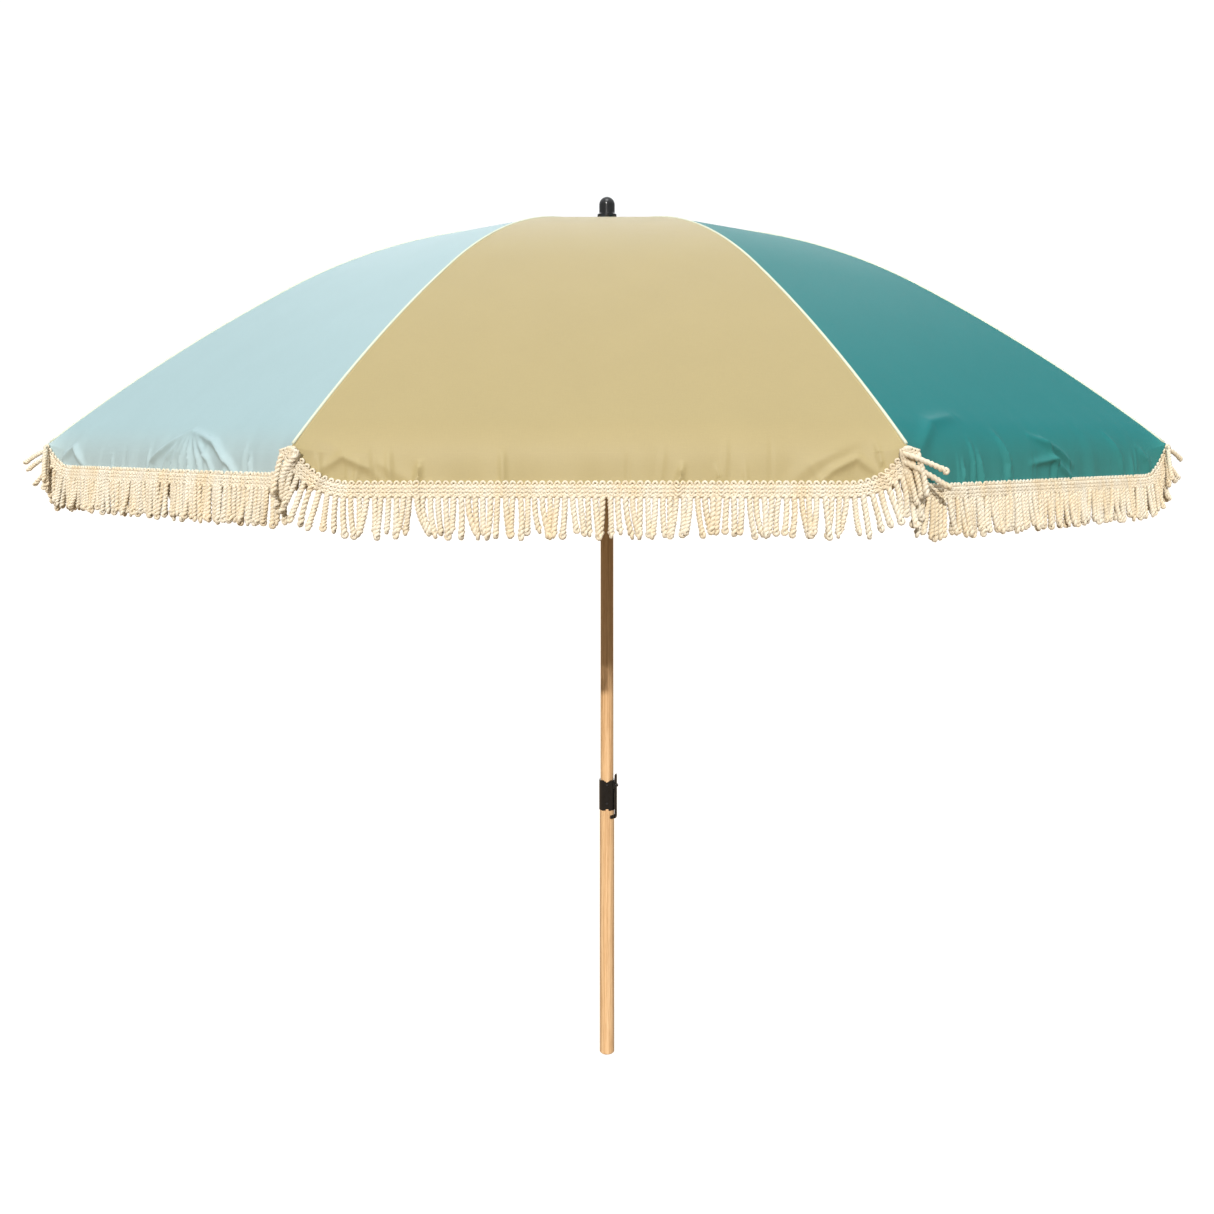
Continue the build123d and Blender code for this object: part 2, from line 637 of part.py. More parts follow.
# The hem of one rib runs along half of each panel beside it.
with BuildPart() as hem:
    with BuildSketch(Plane.XY.offset(HEM_BOTTOM_Z)):
        end = (
            EDGE_X * HALF_CHORD_COS + PANEL_GAP * HALF_CHORD_SIN,
            EDGE_X * HALF_CHORD_SIN - PANEL_GAP * HALF_CHORD_COS,
        )
        end_in = (end[0] - HEM_T * HALF_CHORD_COS, end[1] - HEM_T * HALF_CHORD_SIN)
        with BuildLine():
            Polyline(
                end,
                (TIP_R, 0),
                (end[0], -end[1]),
                (end_in[0], -end_in[1]),
                (TIP_R - HEM_T / HALF_CHORD_COS, 0),
                end_in,
                close=True,
            )
        make_face()
    extrude(amount=TIP_Z - FABRIC_T - HEM_GAP - HEM_BOTTOM_Z)

for number in range(1, RIBS + 1):
    panel_azimuth = FRONT + (number - 1) * RIB_STEP
    rib_azimuth = panel_azimuth + HALF_STEP
    save(turned(rib, rib_azimuth), f"rib_{number}")
    save(turned(rib_fittings, rib_azimuth), f"rib_fittings_{number}")
    save(turned(stretcher, rib_azimuth), f"stretcher_{number}")
    save(turned(hem, rib_azimuth), f"fringed_hem_{number}")
    save(turned(panel_left, panel_azimuth), f"panel_{number}_left")
    save(turned(panel_right, panel_azimuth), f"panel_{number}_right")
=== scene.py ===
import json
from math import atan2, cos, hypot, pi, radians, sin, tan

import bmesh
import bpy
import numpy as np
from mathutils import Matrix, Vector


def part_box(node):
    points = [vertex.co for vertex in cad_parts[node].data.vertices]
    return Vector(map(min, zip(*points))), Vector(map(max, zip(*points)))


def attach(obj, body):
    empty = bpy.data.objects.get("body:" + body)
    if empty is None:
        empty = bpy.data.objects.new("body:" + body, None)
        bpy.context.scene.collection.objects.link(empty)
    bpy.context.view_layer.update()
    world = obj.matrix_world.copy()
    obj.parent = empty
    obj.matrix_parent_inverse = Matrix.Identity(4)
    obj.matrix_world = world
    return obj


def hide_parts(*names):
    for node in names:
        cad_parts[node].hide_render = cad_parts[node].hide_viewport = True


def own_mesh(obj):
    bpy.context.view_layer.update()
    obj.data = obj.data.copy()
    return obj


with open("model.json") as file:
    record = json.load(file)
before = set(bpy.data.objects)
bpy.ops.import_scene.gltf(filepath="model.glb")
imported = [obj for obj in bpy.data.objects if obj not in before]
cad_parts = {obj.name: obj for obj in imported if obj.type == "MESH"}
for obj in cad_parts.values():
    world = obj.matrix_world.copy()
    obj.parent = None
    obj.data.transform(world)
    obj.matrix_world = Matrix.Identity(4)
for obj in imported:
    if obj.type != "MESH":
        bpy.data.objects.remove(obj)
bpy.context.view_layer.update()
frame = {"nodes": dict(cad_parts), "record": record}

# Looks for the beach umbrella: woven canopy, braided fringe, varnished timber and black fittings.
#
# Metres, +Z up, origin at the centre of the pole's lower end, front -Y. A panel is described in
# its own frame: x outward along the panel's middle, y along its chords, and s along a chord from
# the rib beside it.

# The canopy's shape, as the CAD has it
RIBS = 8
HALF_STEP = radians(22.5)
COS_HALF = cos(HALF_STEP)
SIN_HALF = sin(HALF_STEP)
TAN_HALF = tan(HALF_STEP)
FRONT = radians(-90)
APEX_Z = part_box("panel_1_right")[1].z
FLAT_R = 0.100
KNEE_R = 0.600
KNEE_DROP = 0.134
TIP_R = 1.000
TIP_DROP = 0.412
TIP_Z = APEX_Z - TIP_DROP
HUB_R = 0.015 / COS_HALF
CHORD_HALF = TIP_R * SIN_HALF

# Hanging hem, braid and loops
CLOTH_T = 0.0006
BEND_ABOVE = 0.060  # the cloth starts to steepen this far above the chord
BEND_LENGTH = 0.085
HANG_SLOPE = radians(87)
HEM_DEPTH = 0.050  # lower edge of the cloth under the chord
HEM_DEPTHS = {1: 0.049, 2: 0.054, 8: 0.040}  # panels whose hem hangs a little higher or lower
HEM_CORNER = 0.075  # the lower edge curves up to the rib tip over this length
BAND_TOP = -0.0015  # braid, across the hem edge
BAND_BOTTOM = 0.0165
LOOP_ROOT = 0.0140
LOOP_COUNT = 44  # along half a panel
LOOP_LENGTH = 0.047
STRAND_R = 0.00245
TWIST_R = 0.00190

# The soft pieces are made as an inner strip beside the rib and an outer one.
SPLIT_T = 0.060  # from the rib's plane
WING_AXIS = (-0.226, 0.903, -0.3655)  # outward, away from the rib, up

OLIVE, TEAL, BLUE = "olive_fabric", "teal_fabric", "light_blue_fabric"
PANEL_SLOTS = [OLIVE, TEAL, OLIVE, BLUE, OLIVE, TEAL, OLIVE, BLUE]


# ------------------------------------------------------------------ camera and studio

CAMERA_DISTANCE = 2.553
CAMERA_HEIGHT = 1.191
CAMERA_TURN = 0.011
KEY_ELEVATION = 21.7
KEY_AZIMUTH = -98
# Each sun's name, strength and colour, and its width, tilt from straight down and turn in degrees
SUNS = [
    ("key", 3.0, (1, 0.975, 0.93), 0.9, 90 - KEY_ELEVATION, KEY_AZIMUTH + 90),
    ("high", 0.8, (1, 1, 1), 35, 25, 0),
    ("back", 0.9, (1, 1, 1), 50, -58, 0),
]
SKY_COLOUR = (0.93, 0.97, 1, 1)
SKY_LOW = 0.24
SKY_HIGH = 0.95
BACKDROP_STRENGTH = 1.05  # what the camera sees behind the floor
FLOOR_HALF = 60
FLOOR_BOUNCE = (0.20, 0.14, 0.08, 1)
FLOOR_GLOW = 0.05  # what the object sees of it


def add_camera():
    data = bpy.data.cameras.new("camera")
    data.lens = 38.98
    data.sensor_width = 36
    data.shift_y = -0.1388
    data.clip_end = 200
    camera = bpy.data.objects.new("camera", data)
    camera.location = (
        CAMERA_DISTANCE * sin(CAMERA_TURN),
        -CAMERA_DISTANCE * cos(CAMERA_TURN),
        CAMERA_HEIGHT,
    )
    camera.rotation_euler = (pi / 2, 0, CAMERA_TURN)
    bpy.context.scene.collection.objects.link(camera)
    bpy.context.scene.camera = camera


def add_studio():
    """A white surround, a low key light from the front left and soft light all round."""
    scene = bpy.context.scene
    scene.view_settings.view_transform = "Standard"
    world = bpy.data.worlds.new("studio")
    scene.world = world
    world.use_nodes = True
    nodes, links = world.node_tree.nodes, world.node_tree.links
    nodes.clear()
    soft = nodes.new("ShaderNodeBackground")
    soft.inputs["Color"].default_value = SKY_COLOUR
    up = nodes.new("ShaderNodeSeparateXYZ")
    links.new(nodes.new("ShaderNodeTexCoord").outputs["Generated"], up.inputs[0])
    rise = nodes.new("ShaderNodeMapRange")
    rise.inputs["To Min"].default_value = SKY_LOW
    rise.inputs["To Max"].default_value = SKY_HIGH
    links.new(up.outputs["Z"], rise.inputs["Value"])
    links.new(rise.outputs[0], soft.inputs["Strength"])
    white = nodes.new("ShaderNodeBackground")
    white.inputs["Color"].default_value = (1, 1, 1, 1)
    white.inputs["Strength"].default_value = BACKDROP_STRENGTH
    path = nodes.new("ShaderNodeLightPath")
    mix = nodes.new("ShaderNodeMixShader")
    out = nodes.new("ShaderNodeOutputWorld")
    links.new(path.outputs["Is Camera Ray"], mix.inputs[0])
    links.new(soft.outputs[0], mix.inputs[1])
    links.new(white.outputs[0], mix.inputs[2])
    links.new(mix.outputs[0], out.inputs[0])

    for name, strength, colour, width, tilt, turn in SUNS:
        data = bpy.data.lights.new(name, "SUN")
        data.energy = strength
        data.color = colour
        data.angle = radians(width)
        sun = bpy.data.objects.new(name, data)
        sun.rotation_euler = (radians(tilt), 0, radians(turn))
        scene.collection.objects.link(sun)


def add_floor():
    """A white floor that throws back a little warm light and shows no shadow to the camera."""
    mesh = bpy.data.meshes.new("floor")
    corners = [(x * FLOOR_HALF, y * FLOOR_HALF, 0) for x, y in ((-1, -1), (1, -1), (1, 1), (-1, 1))]
    mesh.from_pydata(corners, [], [(0, 1, 2, 3)])
    floor = bpy.data.objects.new("floor", mesh)
    bpy.context.scene.collection.objects.link(floor)
    material = bpy.data.materials.new("floor")
    material.use_nodes = True
    nodes, links = material.node_tree.nodes, material.node_tree.links
    nodes.clear()
    diffuse = nodes.new("ShaderNodeBsdfDiffuse")
    diffuse.inputs["Color"].default_value = FLOOR_BOUNCE
    glow = nodes.new("ShaderNodeEmission")
    glow.inputs["Strength"].default_value = 1.0
    faint = nodes.new("ShaderNodeEmission")
    faint.inputs["Strength"].default_value = FLOOR_GLOW
    path = nodes.new("ShaderNodeLightPath")
    mix = nodes.new("ShaderNodeMixShader")
    both = nodes.new("ShaderNodeAddShader")
    out = nodes.new("ShaderNodeOutputMaterial")
    links.new(path.outputs["Is Camera Ray"], mix.inputs[0])
    links.new(faint.outputs[0], mix.inputs[1])
    links.new(glow.outputs[0], mix.inputs[2])
    links.new(diffuse.outputs[0], both.inputs[0])
    links.new(mix.outputs[0], both.inputs[1])
    links.new(both.outputs[0], out.inputs[0])
    mesh.materials.append(material)


# ------------------------------------------------------------------------ materials


class Shader:
    """A Principled material whose node graph is put together in a few short calls."""

    def __init__(self, name, **values):
        self.material = bpy.data.materials.new(name)
        self.material.use_nodes = True
        self.nodes = self.material.node_tree.nodes
        self.links = self.material.node_tree.links
        self.surface = self.nodes["Principled BSDF"]
        for key, value in values.items():
            self.surface.inputs[key.replace("_", " ")].default_value = value

    def node(self, kind, *sources, **settings):
        node = self.nodes.new("ShaderNode" + kind)
        for key, value in settings.items():
            setattr(node, key, value)
        for index, source in enumerate(sources):
            if source is not None:
                self.put(source, node.inputs[index])
        return node

    def put(self, source, socket):
        if isinstance(source, bpy.types.NodeSocket):
            self.links.new(source, socket)
        else:
            socket.default_value = source

    def math(self, operation, a, b=None, c=None):
        return self.node("Math", a, b, c, operation=operation).outputs[0]

    def coords(self, scale, kind="Object"):
        """Object coordinates, or the named UV map, stretched by scale."""
        if kind == "Object":
            source = self.node("TexCoord").outputs["Object"]
        else:
            source = self.node("UVMap", uv_map=kind).outputs["UV"]
        mapping = self.node("Mapping", source)
        mapping.inputs["Scale"].default_value = scale
        return mapping.outputs[0]

    def noise(self, vector, scale, detail=3.0, roughness=0.5):
        node = self.node("TexNoise", vector)
        node.inputs["Scale"].default_value = scale
        node.inputs["Detail"].default_value = detail
        node.inputs["Roughness"].default_value = roughness
        return node.outputs["Fac"]

    def ramp(self, source, *stops):
        node = self.node("ValToRGB", source)
        elements = node.color_ramp.elements
        while len(elements) < len(stops):
            elements.new(0.5)
        for element, (place, colour) in zip(elements, stops):
            element.position = place
            element.color = (*colour, 1)
        return node.outputs[0]

    def level(self, source, low, high):
        """A 0 to 1 value mapped to low to high."""
        node = self.node("MapRange", source)
        node.inputs["To Min"].default_value = low
        node.inputs["To Max"].default_value = high
        return node.outputs[0]

    def blend(self, amount, a, b, how="MIX"):
        node = self.node("Mix", data_type="RGBA", blend_type=how)
        self.put(amount, node.inputs["Factor"])
        self.put(a if isinstance(a, bpy.types.NodeSocket) else (*a, 1), node.inputs["A"])
        self.put(b if isinstance(b, bpy.types.NodeSocket) else (*b, 1), node.inputs["B"])
        return node.outputs["Result"]

    def finish(self, colour=None, roughness=None, height=None, depth=0.001, strength=1.0):
        if colour is not None:
            self.links.new(colour, self.surface.inputs["Base Color"])
        if roughness is not None:
            self.links.new(roughness, self.surface.inputs["Roughness"])
        if height is not None:
            bump = self.node("Bump")
            bump.inputs["Distance"].default_value = depth
            bump.inputs["Strength"].default_value = strength
            self.links.new(height, bump.inputs["Height"])
            self.links.new(bump.outputs[0], self.surface.inputs["Normal"])
        return self.material


def scaled(colour, share):
    return tuple(min(1.0, c * share) for c in colour)


THREAD_PITCH = 0.0009
STITCH_PITCH = 0.0042
STITCH_GAP = 0.28  # share of the pitch
STITCH_FROM_SEAM = 0.0045
STITCH_HALF_WIDTH = 0.0004
HEM_LIGHT_PAINT_FROM = -0.050  # down the cloth from the chord, where the painted highlight of the hanging hem starts to turn the colour paler
HEM_LIGHT_PAINT_TO = 0.030
HEM_LIGHT_PAINT = 0.22


def cloth_material(name, colour, stitch_and_hem_light_colour, sheen, gloss):
    """Satin polyester in plain weave, with a row of stitching on each side of a seam, and a painted
    highlight that turns the colour paler down the hanging hem.
    """
    shader = Shader(name, Specular_IOR_Level=gloss, Sheen_Weight=sheen, Sheen_Roughness=0.3)
    shader.surface.inputs["Sheen Tint"].default_value = (0.95, 0.95, 0.82, 1)
    weave = shader.coords((1, 1, 1), "weave")
    edge = shader.coords((1, 1, 1), "edge")
    across, along, _ = shader.node("SeparateXYZ", weave).outputs
    seam, _, _ = shader.node("SeparateXYZ", edge).outputs
    warp = shader.math("SINE", shader.math("MULTIPLY", across, 2 * pi / THREAD_PITCH))
    weft = shader.math("SINE", shader.math("MULTIPLY", along, 2 * pi / THREAD_PITCH))
    threads = shader.math("MULTIPLY_ADD", shader.math("MULTIPLY", warp, weft), 0.5, 0.5)
    slub = shader.noise(shader.coords((900, 60, 1), "weave"), 1.0, 2)
    slub_weft = shader.noise(shader.coords((60, 900, 1), "weave"), 1.0, 2)
    cloud = shader.noise(shader.coords((1, 1, 1), "weave"), 9, 4)
    base = shader.ramp(cloud, (0.3, scaled(colour, 0.985)), (0.7, scaled(colour, 1.015)))
    grain = shader.noise(shader.coords((1, 1, 1), "weave"), 620, 3, 0.7)
    slubs = shader.math("MULTIPLY", shader.math("ADD", slub, slub_weft), 0.25)
    yarns = shader.math("MULTIPLY_ADD", grain, 0.5, slubs)
    yarn_tone = shader.ramp(yarns, (0.35, (0.82, 0.82, 0.82)), (0.65, (1, 1, 1)))
    toned = shader.blend(0.5, base, yarn_tone, "MULTIPLY")
    row = shader.math("COMPARE", seam, STITCH_FROM_SEAM, STITCH_HALF_WIDTH)
    along_stitch = shader.math("FRACT", shader.math("DIVIDE", along, STITCH_PITCH))
    stitch = shader.math("MULTIPLY", row, shader.math("GREATER_THAN", along_stitch, STITCH_GAP))
    cloth_colour = shader.blend(shader.math("MULTIPLY", stitch, 0.45), toned, stitch_and_hem_light_colour)
    height = shader.math("MULTIPLY_ADD", threads, 0.35, shader.math("MULTIPLY", yarns, 0.6))
    height = shader.math("MULTIPLY_ADD", stitch, 1.5, height)
    # Painted highlight: the colour turns paler down the cloth towards the hem, in place of the light
    # that falls on the hanging cloth.
    painted_hem_light = shader.node("MapRange", along, interpolation_type="SMOOTHSTEP")
    painted_hem_light.inputs["From Min"].default_value = HEM_LIGHT_PAINT_FROM
    painted_hem_light.inputs["From Max"].default_value = HEM_LIGHT_PAINT_TO
    painted_hem_light.inputs["To Max"].default_value = HEM_LIGHT_PAINT
    cloth_colour = shader.blend(painted_hem_light.outputs[0], cloth_colour, stitch_and_hem_light_colour)
    rough = shader.level(slub, 0.46, 0.60)
    return shader.finish(cloth_colour, rough, height, depth=0.0002, strength=0.55)


def fringe_material(name, light, dark):
    """Soft twisted yarn: fine fibres across the strands, with warmer and paler lengths."""
    shader = Shader(name, Specular_IOR_Level=0.25, Sheen_Weight=0.25, Sheen_Roughness=0.5)
    fibres = shader.noise(shader.coords((1, 1, 1)), 2600, 2, 0.6)
    lengths = shader.noise(shader.coords((1, 1, 0.4)), 38, 3)
    tone = shader.ramp(lengths, (0.32, dark), (0.62, light))
    fibre_tone = shader.ramp(fibres, (0.3, (0.8, 0.77, 0.72)), (0.7, (1, 1, 1)))
    colour = shader.blend(0.5, tone, fibre_tone, "MULTIPLY")
    return shader.finish(colour, shader.level(fibres, 0.75, 0.95), fibres, depth=0.0004, strength=0.6)


def timber_material():
    """Pale varnished hardwood with fine straight grain along the pole."""
    shader = Shader("timber", Coat_Weight=0.25, Coat_Roughness=0.22, Specular_IOR_Level=0.4)
    fine = shader.noise(shader.coords((300, 300, 6)), 1, 4, 0.65)
    broad = shader.noise(shader.coords((70, 70, 1.6)), 1, 3)
    pores = shader.noise(shader.coords((1500, 1500, 40)), 1, 2)
    colour = shader.ramp(broad, (0.3, (0.85, 0.535, 0.270)), (0.7, (0.95, 0.65, 0.375)))
    grain = shader.ramp(fine, (0.38, (0.62, 0.50, 0.38)), (0.56, (1, 1, 1)))
    colour = shader.blend(0.55, colour, grain, "MULTIPLY")
    pore_tone = shader.ramp(pores, (0.38, (0.6, 0.48, 0.36)), (0.5, (1, 1, 1)))
    colour = shader.blend(0.35, colour, pore_tone, "MULTIPLY")
    height = shader.math("ADD", shader.math("MULTIPLY", fine, 0.6), shader.math("MULTIPLY", pores, 0.4))
    return shader.finish(colour, shader.level(fine, 0.34, 0.52), height, depth=0.00025, strength=0.4)


def plastic_material():
    """Moulded glossy black plastic, with slight flow marks and handling wear."""
    shader = Shader("black_fitting", Specular_IOR_Level=0.6, Coat_Weight=0.3, Coat_Roughness=0.06)
    marks = shader.noise(shader.coords((1, 1, 0.5)), 240, 4)
    scuffs = shader.noise(shader.coords((1, 1, 1)), 1300, 3, 0.7)
    colour = shader.ramp(marks, (0.35, (0.004, 0.004, 0.0045)), (0.7, (0.009, 0.009, 0.010)))
    colour = shader.blend(shader.level(scuffs, 0, 0.12), colour, (0.03, 0.03, 0.033))
    height = shader.math("ADD", marks, shader.math("MULTIPLY", scuffs, 0.15))
    return shader.finish(colour, shader.level(scuffs, 0.10, 0.24), height, depth=0.00015, strength=0.35)


def steel_material(name, colour, low, high, metallic):
    """Drawn rod: fine marks along it under paint, or bare and bright."""
    shader = Shader(name, Metallic=metallic, Specular_IOR_Level=0.5)
    peel = shader.noise(shader.coords((1, 1, 1)), 700, 3)
    drawn = shader.noise(shader.coords((60, 60, 1200)), 1, 3)
    tone = shader.ramp(peel, (0.3, scaled(colour, 0.75)), (0.7, scaled(colour, 1.3)))
    drawn_tone = shader.ramp(drawn, (0.4, (0.7, 0.7, 0.7)), (0.6, (1, 1, 1)))
    tone = shader.blend(0.25, tone, drawn_tone, "MULTIPLY")
    return shader.finish(tone, shader.level(drawn, low, high), peel, depth=0.00012, strength=0.4)


MATERIALS = {
    # Each cloth's second colour is its stitching thread and also the painted highlight of its hanging
    # hem.
    OLIVE: cloth_material("olive_fabric", (0.395, 0.318, 0.152), (0.56, 0.47, 0.25), 0.5, 0.3),
    TEAL: cloth_material("teal_fabric", (0.012, 0.182, 0.187), (0.15, 0.38, 0.32), 0.02, 0.12),
    BLUE: cloth_material("light_blue_fabric", (0.332, 0.465, 0.490), (0.70, 0.72, 0.69), 0.05, 0.15),
    "fringe": fringe_material("fringe", (0.83, 0.765, 0.635), (0.79, 0.665, 0.47)),
    "seam": cloth_material("seam", (0.66, 0.70, 0.56), (0.7, 0.74, 0.6), 0.2, 0.2),
    "timber": timber_material(),
    "black_fitting": plastic_material(),
    "black_steel": steel_material("black_steel", (0.018, 0.018, 0.02), 0.3, 0.5, 0.0),
    "spring_steel": steel_material("spring_steel", (0.55, 0.55, 0.56), 0.22, 0.42, 1.0),
}


def dress_cad():
    """Gives each CAD node that stays the finish that the record names for it."""
    for row in frame["record"]["subparts"]:
        node = frame["nodes"][row["node"]]
        node.data.materials.clear()
        node.data.materials.append(MATERIALS[row["material_slot"]])


# ---------------------------------------------------------------- shape of the cloth

KNEE_SLOPE = 2 * atan2(KNEE_DROP, KNEE_R - FLAT_R)
CROWN_ARC_R = ((KNEE_R - FLAT_R) ** 2 + KNEE_DROP**2) / (2 * KNEE_DROP)
CHORD_SLOPE = atan2(TIP_DROP - KNEE_DROP, TIP_R - KNEE_R)
SHOULDER_R = hypot(TIP_R - KNEE_R, TIP_DROP - KNEE_DROP) / (2 * sin(CHORD_SLOPE - KNEE_SLOPE))
SHOULDER_X = KNEE_R - SHOULDER_R * sin(KNEE_SLOPE)
SHOULDER_Z = APEX_Z - KNEE_DROP - SHOULDER_R * cos(KNEE_SLOPE)


def dome(radius):
    """Height of the cloth over a rib."""
    run = np.clip(radius - FLAT_R, 0, None)
    crown = APEX_Z - CROWN_ARC_R + np.sqrt(np.clip(CROWN_ARC_R**2 - run**2, 0, None))
    shoulder = SHOULDER_Z + np.sqrt(SHOULDER_R**2 - (radius - SHOULDER_X) ** 2)
    return np.where(radius <= KNEE_R, crown, shoulder)


# Sections over the middle of a panel, against the distance down the cloth from the chord:
# taut, and bent over to hang.
section_r = np.linspace(HUB_R, TIP_R, 1500)
section_x = section_r * COS_HALF
section_z = dome(section_r)
section_run = np.concatenate([[0], np.cumsum(np.hypot(np.diff(section_x), np.diff(section_z)))])
CLOTH_LENGTH = section_run[-1]
section_down = section_run - CLOTH_LENGTH
bend_down = np.linspace(-BEND_ABOVE, 0.09, 600)
bend_start_x = np.interp(-BEND_ABOVE, section_down, section_x)
bend_start_z = np.interp(-BEND_ABOVE, section_down, section_z)
start_slope = atan2(bend_start_z - TIP_Z, TIP_R * COS_HALF - bend_start_x)


def smooth(value):
    value = np.clip(value, 0, 1)
    return value * value * (3 - 2 * value)


bend_slope = start_slope + (HANG_SLOPE - start_slope) * smooth((bend_down + BEND_ABOVE) / BEND_LENGTH)
bend_step = bend_down[1] - bend_down[0]
bend_x = bend_start_x + np.concatenate([[0], np.cumsum(np.cos(bend_slope[:-1]) * bend_step)])
bend_z = bend_start_z - np.concatenate([[0], np.cumsum(np.sin(bend_slope[:-1]) * bend_step)])


def hem_share(s):
    """How far the cloth's lower edge has come down, s from the rib tip."""
    share = np.clip(s / HEM_CORNER, 0, 1)
    return (1 - (1 - share) ** 2.4) ** 0.8


def section(down, s):
    """Distance out and height of the unwrinkled cloth, down the cloth from the chord."""
    hang = hem_share(s)
    below = np.clip(down, 0, None)
    taut_x = np.interp(down, section_down, section_x)
    taut_z = np.interp(down, section_down, section_z) - below
    bent = down > -BEND_ABOVE
    x = np.where(bent, taut_x + hang * (np.interp(down, bend_down, bend_x) - taut_x), taut_x)
    z = np.where(bent, taut_z + hang * (np.interp(down, bend_down, bend_z) - taut_z), taut_z)
    return x, z


def edge_down(s, number):
    """How far down the cloth its lower edge lies, s from the rib tip."""
    depth = HEM_DEPTHS.get(number, HEM_DEPTH) * hem_share(s)
    found = np.zeros_like(s)
    steps = np.linspace(0, 0.07, 400)
    for index, place in enumerate(s):
        _, z = section(steps, np.full_like(steps, place))
        found[index] = np.interp(depth[index], TIP_Z - z, steps)
    return found


# ----------------------------------------------------------------------- wrinkles

GATHER_DECAY = 0.045  # up the cloth from its lower edge
GATHER_HEIGHT = 0.0011
CREASES = 16  # on each panel's hem
FOLD_GAIN = 2.0


def ridge(y, down, line, width, height):
    """A rounded fold along a line of (y, down) points, fading at its two ends."""
    best = np.full(np.broadcast(y, down).shape, 1e9)
    share = np.zeros_like(best)
    lengths = [hypot(b[0] - a[0], b[1] - a[1]) for a, b in zip(line, line[1:])]
    total = sum(lengths)
    gone = 0
    for (a, b), length in zip(zip(line, line[1:]), lengths):
        t = ((y - a[0]) * (b[0] - a[0]) + (down - a[1]) * (b[1] - a[1])) / length**2
        t = np.clip(t, 0, 1)
        gap = np.hypot(y - a[0] - t * (b[0] - a[0]), down - a[1] - t * (b[1] - a[1]))
        nearer = gap < best
        share = np.where(nearer, (gone + t * length) / total, share)
        best = np.where(nearer, gap, best)
        gone += length
    ends = np.sin(pi * np.clip(share, 0.04, 0.96)) ** 0.6
    return FOLD_GAIN * height * np.exp(-((best / width) ** 1.7)) * ends


def corner_folds(draw, side):
    """Folds that spring from a rib tip, across the corner of the panel."""
    folds = []
    for _ in range(draw.integers(2, 4)):
        start = draw.uniform(0.012, 0.045)
        reach = draw.uniform(0.05, 0.13)
        lift = draw.uniform(-0.01, 0.05)
        points = [
            (side * (CHORD_HALF - start), 0.02 * draw.uniform(0.3, 1)),
            (side * (CHORD_HALF - start - 0.5 * reach), -lift * 0.5 - 0.004),
            (side * (CHORD_HALF - start - reach), 0.03 * draw.uniform(0.2, 1) - lift * 0.2),
        ]
        folds.append((points, draw.uniform(0.005, 0.009), draw.uniform(0.0012, 0.0026)))
    return folds


def hem_folds(draw, count):
    """Short upright creases in the hanging cloth."""
    folds = []
    for _ in range(count):
        y = draw.uniform(-0.36, 0.36)
        top = draw.uniform(-0.03, 0.015)
        lean = draw.normal(0, 0.008)
        folds.append(
            ([(y, 0.052), (y + lean, top)], draw.uniform(0.0022, 0.0045), draw.uniform(-0.0012, 0.0018))
        )
    return folds


# Folds that can be told apart on the three panels at the front, as (y, down) lines.
SEEN_FOLDS = {
    1: [
        ([(-0.232, 0.052), (-0.226, 0.03), (-0.224, 0.012)], 0.0035, 0.0032),
        ([(0.095, 0.052), (0.101, 0.03), (0.104, 0.014)], 0.0034, 0.0030),
        ([(0.262, 0.048), (0.290, 0.022), (0.322, 0.006), (0.350, 0.030)], 0.0055, 0.0020),
        ([(0.225, 0.050), (0.262, 0.016), (0.340, -0.024)], 0.0100, 0.0012),
        ([(-0.352, 0.026), (-0.322, 0.004), (-0.286, 0.020), (-0.262, 0.046)], 0.0055, 0.0018),
        ([(-0.350, -0.014), (-0.290, 0.006), (-0.215, 0.046)], 0.0100, 0.0012),
    ],
    2: [
        ([(-0.345, 0.000), (-0.280, -0.045), (-0.200, -0.060)], 0.0100, 0.0022),
        ([(-0.243, 0.052), (-0.238, 0.010)], 0.0035, 0.0026),
        ([(-0.190, 0.052), (-0.196, 0.000)], 0.0040, 0.0026),
        ([(-0.125, 0.052), (-0.120, 0.016), (-0.136, -0.026)], 0.0060, 0.0036),
        ([(-0.040, -0.024), (0.026, 0.000), (0.068, 0.022)], 0.0055, 0.0036),
        ([(-0.055, 0.018), (0.010, 0.012), (0.070, 0.046)], 0.0050, 0.0034),
        ([(0.024, 0.052), (0.012, 0.016), (-0.012, -0.020)], 0.0045, 0.0030),
        ([(0.205, -0.026), (0.228, 0.012), (0.240, 0.052)], 0.0060, 0.0028),
        ([(0.300, -0.004), (0.322, 0.018), (0.334, 0.044)], 0.0065, 0.0032),
    ],
    8: [
        ([(0.080, -0.032), (0.160, -0.012), (0.214, 0.018), (0.252, 0.050)], 0.0050, 0.0038),
        ([(0.080, -0.032), (0.030, -0.010), (-0.020, 0.016), (-0.032, 0.050)], 0.0048, 0.0030),
        ([(0.206, 0.052), (0.200, 0.010)], 0.0034, 0.0024),
        ([(0.270, 0.050), (0.262, 0.004)], 0.0036, 0.0026),
        ([(-0.345, 0.018), (-0.300, -0.004), (-0.255, 0.030)], 0.0060, 0.0030),
    ]
    + [
        (
            [(0.080 + 0.15 * end, -0.026), (0.080 + 0.7 * end, 0.012), (0.080 + end, 0.052)],
            0.0040,
            0.0024,
        )
        for end in (-0.075, -0.045, -0.012, 0.024, 0.062, 0.100)
    ],
}


